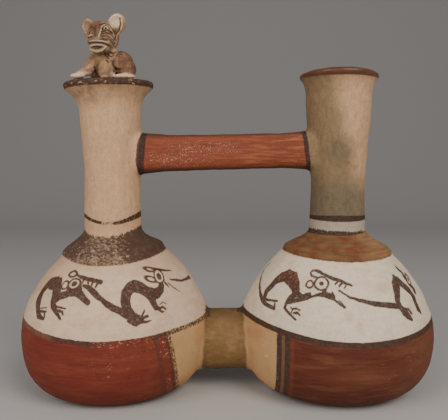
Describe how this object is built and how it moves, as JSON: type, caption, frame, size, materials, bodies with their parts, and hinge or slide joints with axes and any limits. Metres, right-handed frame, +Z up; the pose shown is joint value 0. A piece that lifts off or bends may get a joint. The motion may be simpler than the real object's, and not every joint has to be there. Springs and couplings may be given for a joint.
{
  "type": "double-chambered whistling vessel",
  "caption": "Twin-chambered earthenware whistling vessel with a flared open spout, a closed neck topped by a crouching animal, and a bar handle between the necks.",
  "frame": {"origin": "centre of the vessel's length and depth, on the plane that both feet stand on", "axes": "+X from the closed whistle neck towards the open neck, +Y away from the painted front, +Z up"},
  "size_m": [0.2356, 0.1078, 0.2122],
  "materials": {
    "slip_painted_clay": "unglazed low-fired earthenware, slip-painted in red, cream and dark brown, lightly burnished and worn"
  },
  "bodies": {
    "root": {"vessel": "slip_painted_clay"}
  },
  "joints": []
}
